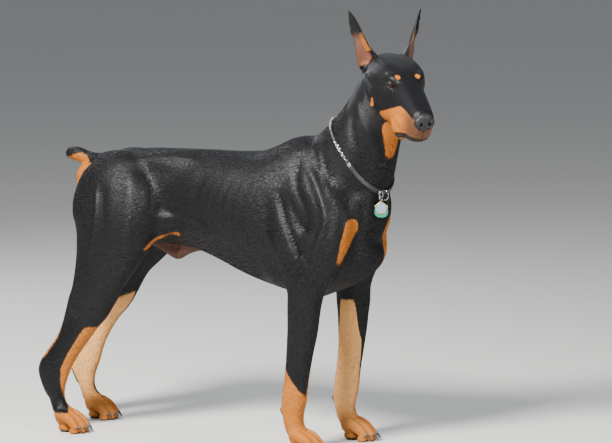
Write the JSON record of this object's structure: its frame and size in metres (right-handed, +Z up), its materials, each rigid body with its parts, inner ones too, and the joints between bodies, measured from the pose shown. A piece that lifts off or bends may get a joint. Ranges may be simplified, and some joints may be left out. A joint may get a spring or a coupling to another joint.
{
  "type": "standing dog model",
  "caption": "Life-size still model of a standing short-haired dog with upright cropped ears, a docked tail and a half-chain collar with rings and tags.",
  "frame": {"origin": "on the floor, under the middle of the model's box", "axes": "+X towards the chest, +Y the dog's left, +Z up; the longest extent is along X"},
  "size_m": [1.0612, 0.3164, 1.0126],
  "materials": {
    "coat": "short, close-lying hair, glossy black with rust-coloured markings",
    "eye": "wet, dark brown",
    "nose": "moist black leather with a fine pebble",
    "claw": "dark horn",
    "strap": "dark green-black webbing",
    "chain": "polished links",
    "clamp": "polished",
    "ring": "polished wire",
    "star_tag": "pale blue disc on a gold-coloured star, blank",
    "green_tag": "green enamel, blank"
  },
  "bodies": {
    "root": {"claw_front_left_1": "claw", "claw_front_left_2": "claw", "claw_front_left_3": "claw", "claw_front_left_4": "claw", "claw_front_right_1": "claw", "claw_front_right_2": "claw", "claw_front_right_3": "claw", "claw_front_right_4": "claw", "claw_hind_left_1": "claw", "claw_hind_left_2": "claw", "claw_hind_left_3": "claw", "claw_hind_left_4": "claw", "claw_hind_right_1": "claw", "claw_hind_right_2": "claw", "claw_hind_right_3": "claw", "claw_hind_right_4": "claw", "collar_chain": "chain", "collar_clamp_left": "clamp", "collar_clamp_right": "clamp", "collar_strap": "strap", "ear_left": "coat", "ear_right": "coat", "eye_left": "eye", "eye_right": "eye", "head": "coat", "leg_front_left": "coat", "leg_front_right": "coat", "leg_hind_left": "coat", "leg_hind_right": "coat", "neck": "coat", "nose": "nose", "paw_front_left": "coat", "paw_front_right": "coat", "paw_hind_left": "coat", "paw_hind_right": "coat", "ring_dee": "ring", "ring_round": "ring", "ring_small": "ring", "ring_split": "ring", "tag_back": "green_tag", "tag_star": "star_tag", "tail": "coat", "torso": "coat"}
  },
  "joints": []
}
